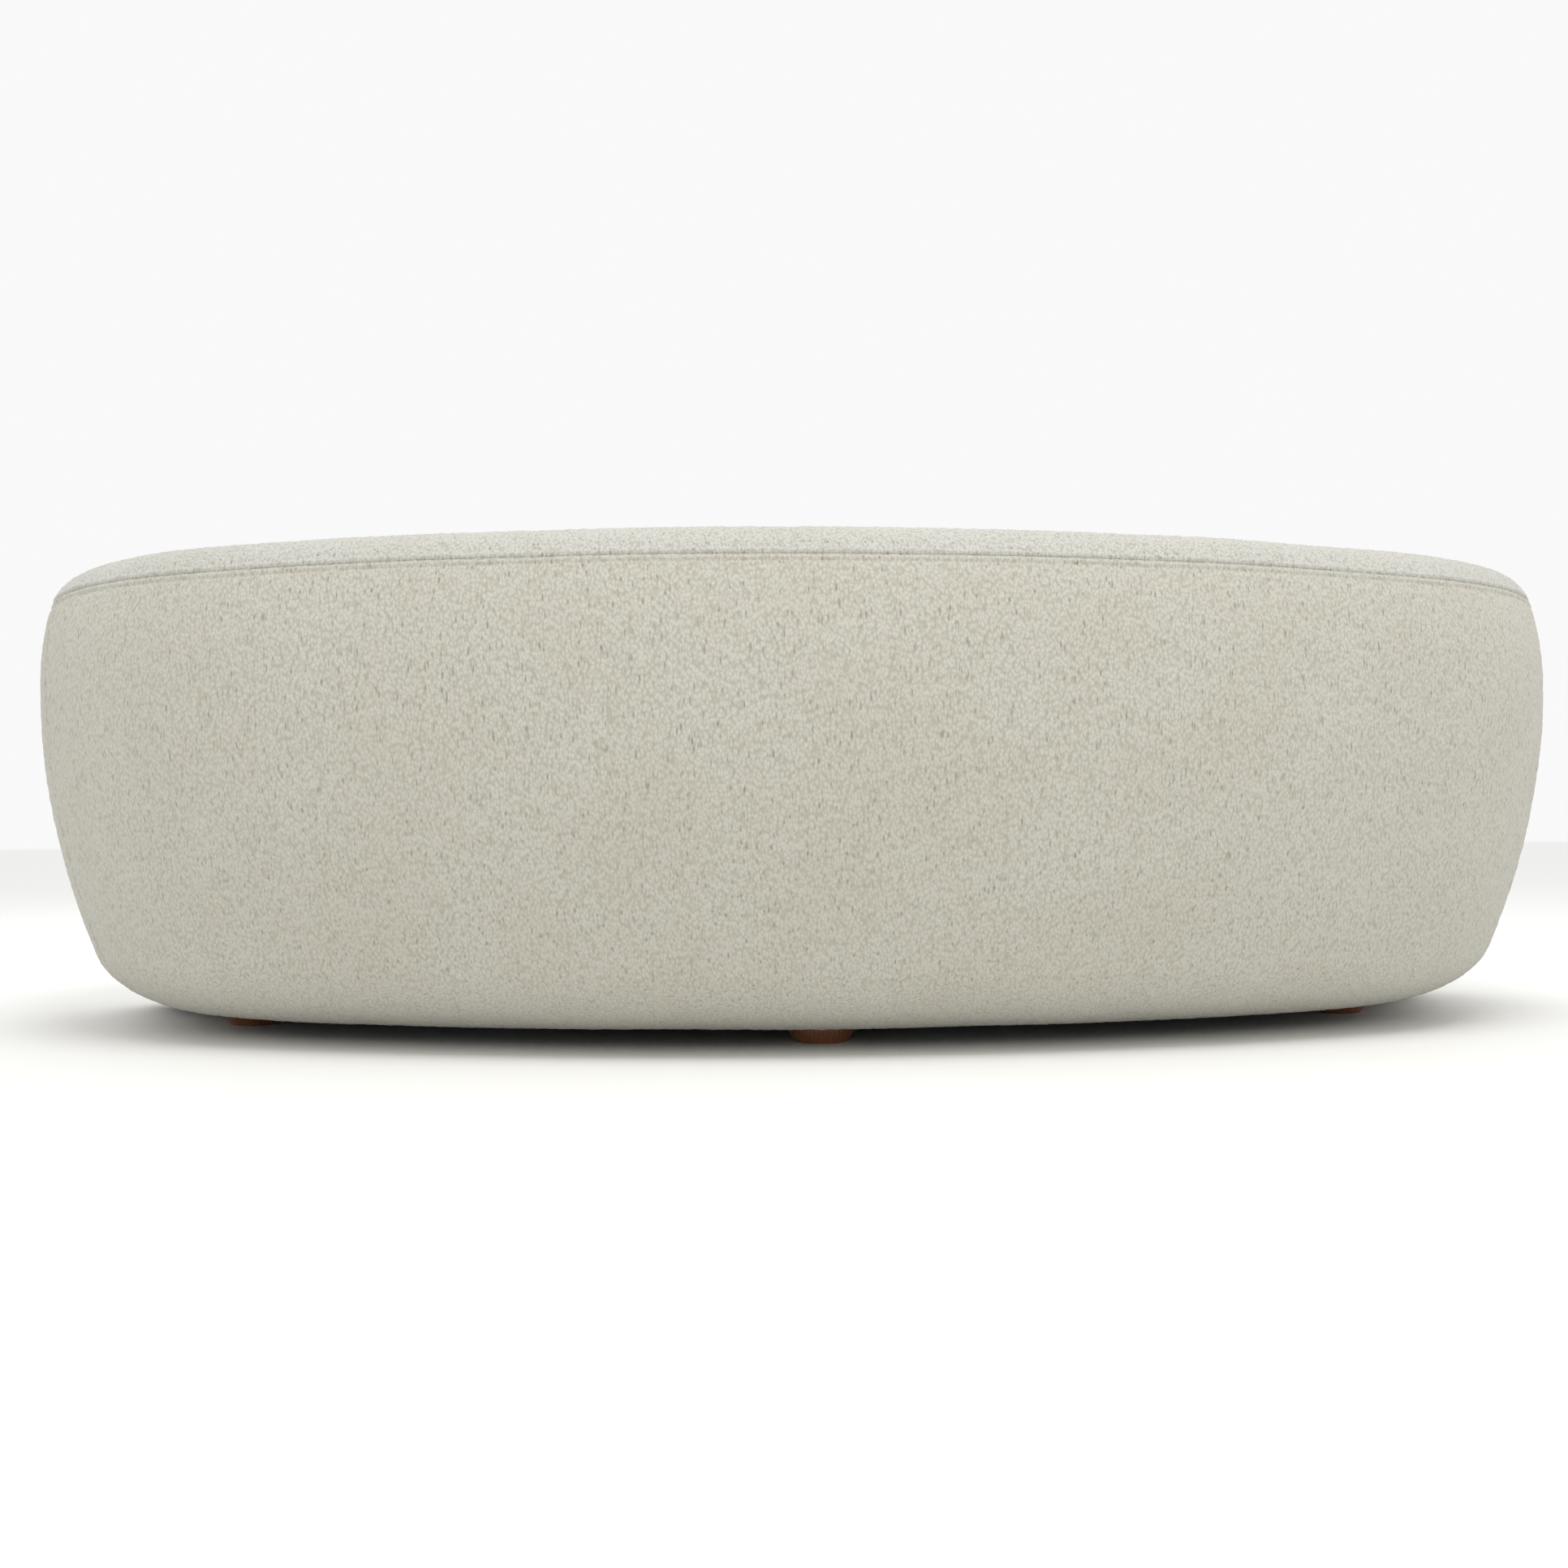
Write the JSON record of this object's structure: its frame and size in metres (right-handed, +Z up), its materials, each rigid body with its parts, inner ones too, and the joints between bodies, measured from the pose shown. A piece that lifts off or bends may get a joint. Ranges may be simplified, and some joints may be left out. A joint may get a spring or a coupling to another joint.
{
  "type": "curved upholstered sofa",
  "caption": "Curved sofa with a wrap-around back that runs into the arms, pile-fabric covers with a seamed top band, lift-out seat cushions and low turned wooden feet.",
  "frame": {"origin": "on the floor, under the middle of the sofa's box", "axes": "+Z up, +X to the sitter's left, the sitter faces -Y"},
  "size_m": [2.3782, 1.1, 0.681],
  "materials": {
    "pile_fabric": "matte",
    "lining_fabric": "matte",
    "dust_fabric": "matte",
    "foam": "matte",
    "plywood": "matte",
    "walnut": "satin",
    "steel": "satin"
  },
  "bodies": {
    "frame": {"outer_back_cover": "pile_fabric", "left_outside_arm_cover": "pile_fabric", "right_outside_arm_cover": "pile_fabric", "inside_back_cover": "pile_fabric", "left_inside_arm_cover": "pile_fabric", "right_inside_arm_cover": "pile_fabric", "top_band_cover": "pile_fabric", "front_border_cover": "pile_fabric", "back_foam": "foam", "left_arm_foam": "foam", "right_arm_foam": "foam", "front_border_foam": "foam", "deck_foam": "foam", "back_bottom_rail": "plywood", "left_bottom_rail": "plywood", "right_bottom_rail": "plywood", "front_bottom_rail": "plywood", "center_cross_rail": "plywood", "left_back_rib": "plywood", "right_back_rib": "plywood", "left_corner_rib": "plywood", "right_corner_rib": "plywood", "left_arm_rib": "plywood", "right_arm_rib": "plywood", "back_top_rail": "plywood", "left_arm_top_rail": "plywood", "right_arm_top_rail": "plywood", "front_board": "plywood", "rear_spring_rail": "plywood", "back_center_foot": "walnut", "back_left_foot": "walnut", "back_right_foot": "walnut", "front_center_foot": "walnut", "front_left_foot": "walnut", "front_right_foot": "walnut", "back_center_bolt": "steel", "back_left_bolt": "steel", "back_right_bolt": "steel", "front_center_bolt": "steel", "front_left_bolt": "steel", "front_right_bolt": "steel", "back_center_tnut": "steel", "back_left_tnut": "steel", "back_right_tnut": "steel", "front_center_tnut": "steel", "front_left_tnut": "steel", "front_right_tnut": "steel", "seat_spring_1": "steel", "seat_spring_2": "steel", "seat_spring_3": "steel", "seat_spring_4": "steel", "seat_spring_5": "steel", "deck_cover": "lining_fabric", "dust_cover": "dust_fabric"},
    "left_cushion": {"left_cushion_cover": "pile_fabric", "left_cushion_core": "foam"},
    "right_cushion": {"right_cushion_cover": "pile_fabric", "right_cushion_core": "foam"}
  },
  "joints": [
    {"name": "left_cushion_lift", "type": "slide", "parent": "frame", "child": "left_cushion", "axis": [0, 0, 1], "range_m": [0, 0.3]},
    {"name": "right_cushion_lift", "type": "slide", "parent": "frame", "child": "right_cushion", "axis": [0, 0, 1], "range_m": [0, 0.3]}
  ]
}
